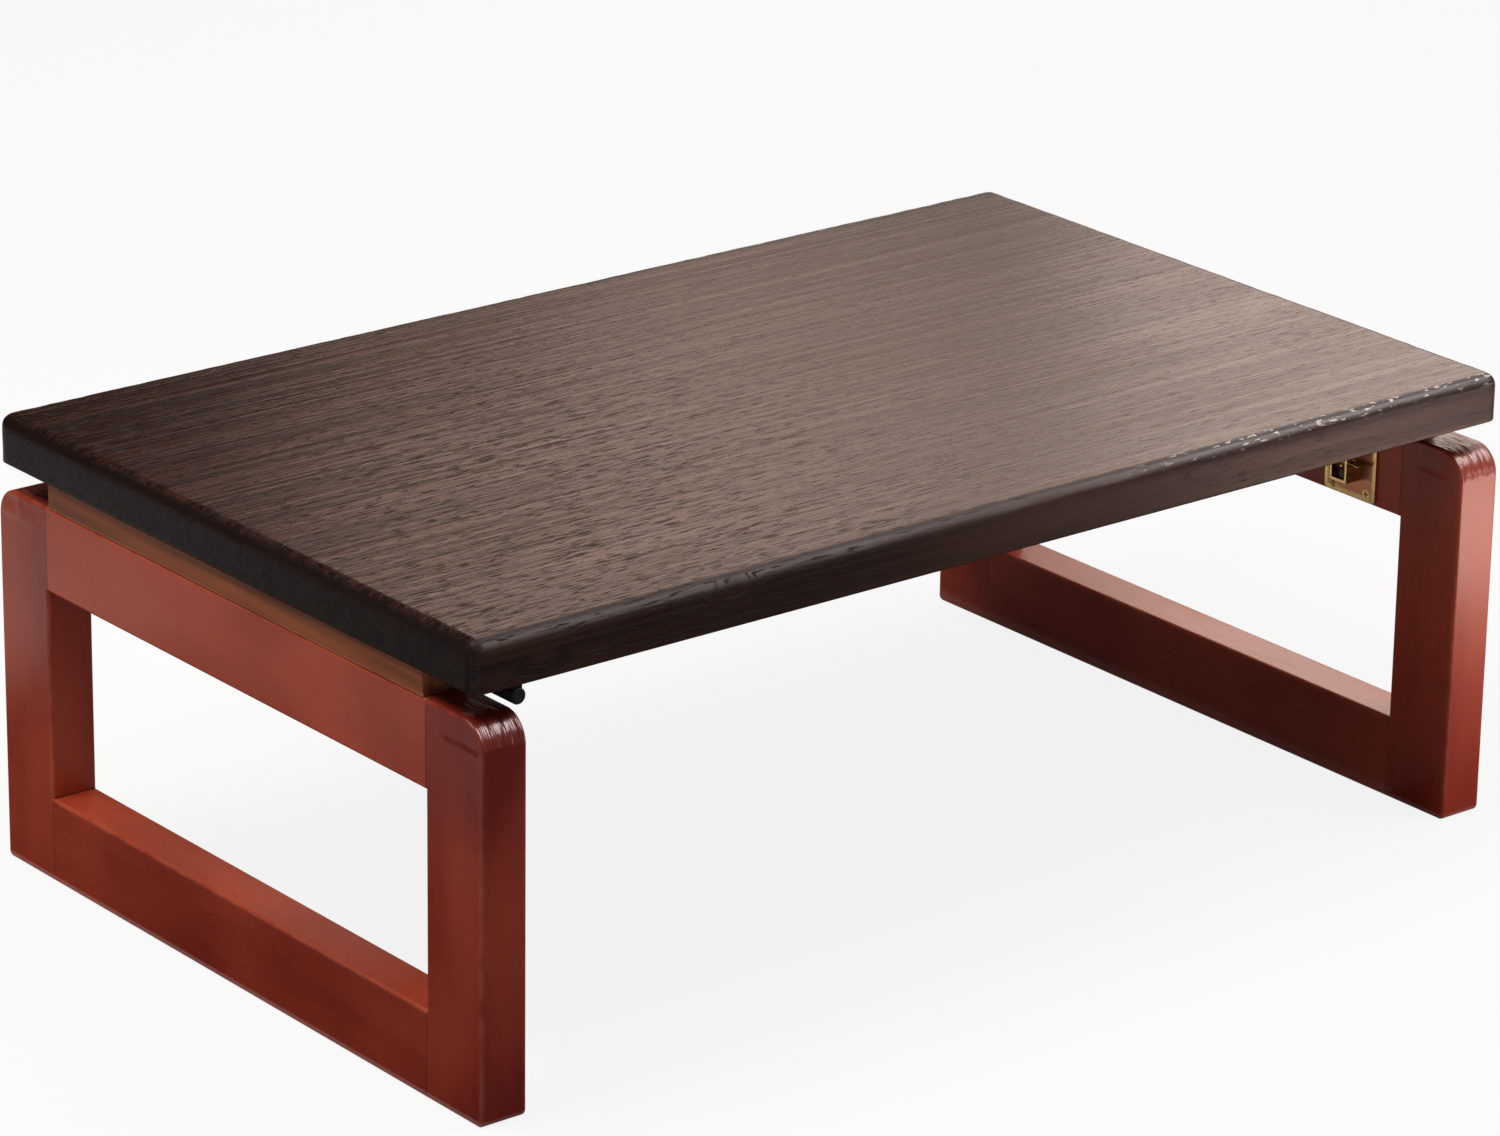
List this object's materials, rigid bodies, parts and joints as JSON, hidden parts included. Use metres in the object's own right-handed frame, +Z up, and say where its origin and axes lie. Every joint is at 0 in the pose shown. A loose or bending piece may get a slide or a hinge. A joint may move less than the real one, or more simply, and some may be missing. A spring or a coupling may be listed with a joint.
{
  "type": "folding coffee table",
  "caption": "Low folding table: a thick dark wooden top on two open rectangular leg frames that swing in under it on locking brackets.",
  "frame": {"origin": "on the floor, below the centre of the tabletop", "axes": "+X along the long side of the top, +Y from the front to the back, +Z up"},
  "size_m": [0.8, 0.5, 0.295],
  "materials": {
    "burnt_wood": "satin",
    "red_lacquered_wood": "gloss",
    "brown_wood": "satin",
    "brass_plated_steel": "satin",
    "bright_steel": "satin",
    "black_rubber": "matte"
  },
  "bodies": {
    "table": {"tabletop": "burnt_wood", "left_batten": "brown_wood", "left_batten_screws": "bright_steel", "left_rubber_buffer": "black_rubber", "left_front_top_plate": "brass_plated_steel", "left_front_top_screws": "brass_plated_steel", "left_back_top_plate": "brass_plated_steel", "left_back_top_screws": "brass_plated_steel", "right_batten": "brown_wood", "right_batten_screws": "bright_steel", "right_rubber_buffer": "black_rubber", "right_front_top_plate": "brass_plated_steel", "right_front_top_screws": "brass_plated_steel", "right_back_top_plate": "brass_plated_steel", "right_back_top_screws": "brass_plated_steel"},
    "left_front_lock": {"left_front_lock_slide": "brass_plated_steel"},
    "left_back_lock": {"left_back_lock_slide": "brass_plated_steel"},
    "left_leg": {"left_front_post": "red_lacquered_wood", "left_back_post": "red_lacquered_wood", "left_top_rail": "red_lacquered_wood", "left_bottom_rail": "red_lacquered_wood", "left_front_leg_plate": "brass_plated_steel", "left_front_hinge_pin": "bright_steel", "left_front_lock_spring": "bright_steel", "left_front_leg_screws": "brass_plated_steel", "left_back_leg_plate": "brass_plated_steel", "left_back_hinge_pin": "bright_steel", "left_back_lock_spring": "bright_steel", "left_back_leg_screws": "brass_plated_steel"},
    "right_front_lock": {"right_front_lock_slide": "brass_plated_steel"},
    "right_back_lock": {"right_back_lock_slide": "brass_plated_steel"},
    "right_leg": {"right_front_post": "red_lacquered_wood", "right_back_post": "red_lacquered_wood", "right_top_rail": "red_lacquered_wood", "right_bottom_rail": "red_lacquered_wood", "right_front_leg_plate": "brass_plated_steel", "right_front_hinge_pin": "bright_steel", "right_front_lock_spring": "bright_steel", "right_front_leg_screws": "brass_plated_steel", "right_back_leg_plate": "brass_plated_steel", "right_back_hinge_pin": "bright_steel", "right_back_lock_spring": "bright_steel", "right_back_leg_screws": "brass_plated_steel"}
  },
  "joints": [
    {"name": "left_leg_fold", "type": "hinge", "parent": "table", "child": "left_leg", "pos_m": [-0.358, 0, 0.251], "axis": [0, -1, 0], "range_deg": [0, 90]},
    {"name": "right_leg_fold", "type": "hinge", "parent": "table", "child": "right_leg", "pos_m": [0.358, 0, 0.251], "axis": [0, 1, 0], "range_deg": [0, 90]},
    {"name": "left_front_lock_travel", "type": "slide", "parent": "left_leg", "child": "left_front_lock", "axis": [0, 0, 1], "range_m": [0, 0.0027], "deforming": ["left_front_lock_spring"]},
    {"name": "left_back_lock_travel", "type": "slide", "parent": "left_leg", "child": "left_back_lock", "axis": [0, 0, 1], "range_m": [0, 0.0027], "deforming": ["left_back_lock_spring"]},
    {"name": "right_front_lock_travel", "type": "slide", "parent": "right_leg", "child": "right_front_lock", "axis": [0, 0, 1], "range_m": [0, 0.0027], "deforming": ["right_front_lock_spring"]},
    {"name": "right_back_lock_travel", "type": "slide", "parent": "right_leg", "child": "right_back_lock", "axis": [0, 0, 1], "range_m": [0, 0.0027], "deforming": ["right_back_lock_spring"]}
  ]
}
